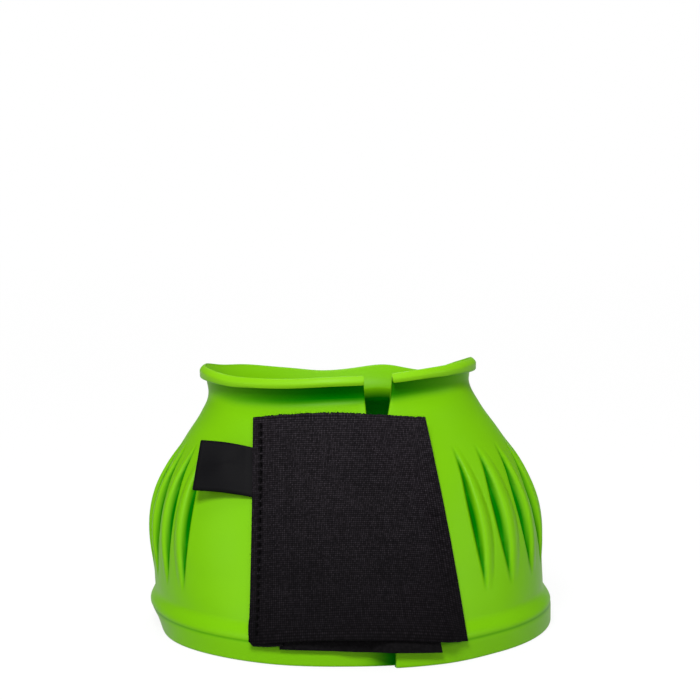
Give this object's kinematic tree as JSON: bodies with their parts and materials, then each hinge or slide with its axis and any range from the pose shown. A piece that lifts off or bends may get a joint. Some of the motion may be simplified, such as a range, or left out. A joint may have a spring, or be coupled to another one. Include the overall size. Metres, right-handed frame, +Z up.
{
  "type": "bell boot",
  "caption": "Ribbed rubber bell boot that wraps a horse's hoof and pastern, with a flared wavy rim, a lapped slit behind, a double-lock hook-and-loop closure and a pull tab.",
  "frame": {"origin": "centre of the object's outline in plan, on the plane that the hem stands on", "axes": "+Z up from the hem to the rim, -Y towards the closure behind the pastern, +X to the side that the outer flap hinges on"},
  "size_m": [0.1836, 0.1898, 0.1216],
  "materials": {
    "rubber": "bright lime rubber, moulded, satin",
    "tape": "black woven hook-and-loop tape, matt",
    "ribbon": "black satin ribbon, fine cross ribs",
    "thread": "black sewing thread"
  },
  "bodies": {
    "boot": {"shell": "rubber", "anchor_patch": "tape", "flap_root": "tape", "under_strap_root": "tape"},
    "strap": {"under_strap_inner_face": "tape", "under_strap_outer_face": "tape"},
    "flap": {"outer_flap": "tape", "flap_edge_strip": "tape", "edge_stitching": "thread"},
    "tab": {"pull_tab": "ribbon"}
  },
  "joints": [
    {"name": "flap_hinge", "type": "hinge", "parent": "boot", "child": "flap", "pos_m": [0.051, -0.07897, 0.00994], "axis": [-0.1759, 0.3821, 0.9072], "range_deg": [0, 150]},
    {"name": "strap_hinge", "type": "hinge", "parent": "boot", "child": "strap", "pos_m": [0.00329, -0.0896, 0.0085], "axis": [0, -0.441, -0.8975], "range_deg": [0, 36]},
    {"name": "tab_hinge", "type": "hinge", "parent": "flap", "child": "tab", "pos_m": [-0.0433, -0.05165, 0.0683], "axis": [0.0009, 0.4646, 0.8855], "range_deg": [0, 140]}
  ],
  "couplings": [
    {"joint": "strap_hinge", "follows": "flap_hinge", "ratio": 0.24}
  ]
}
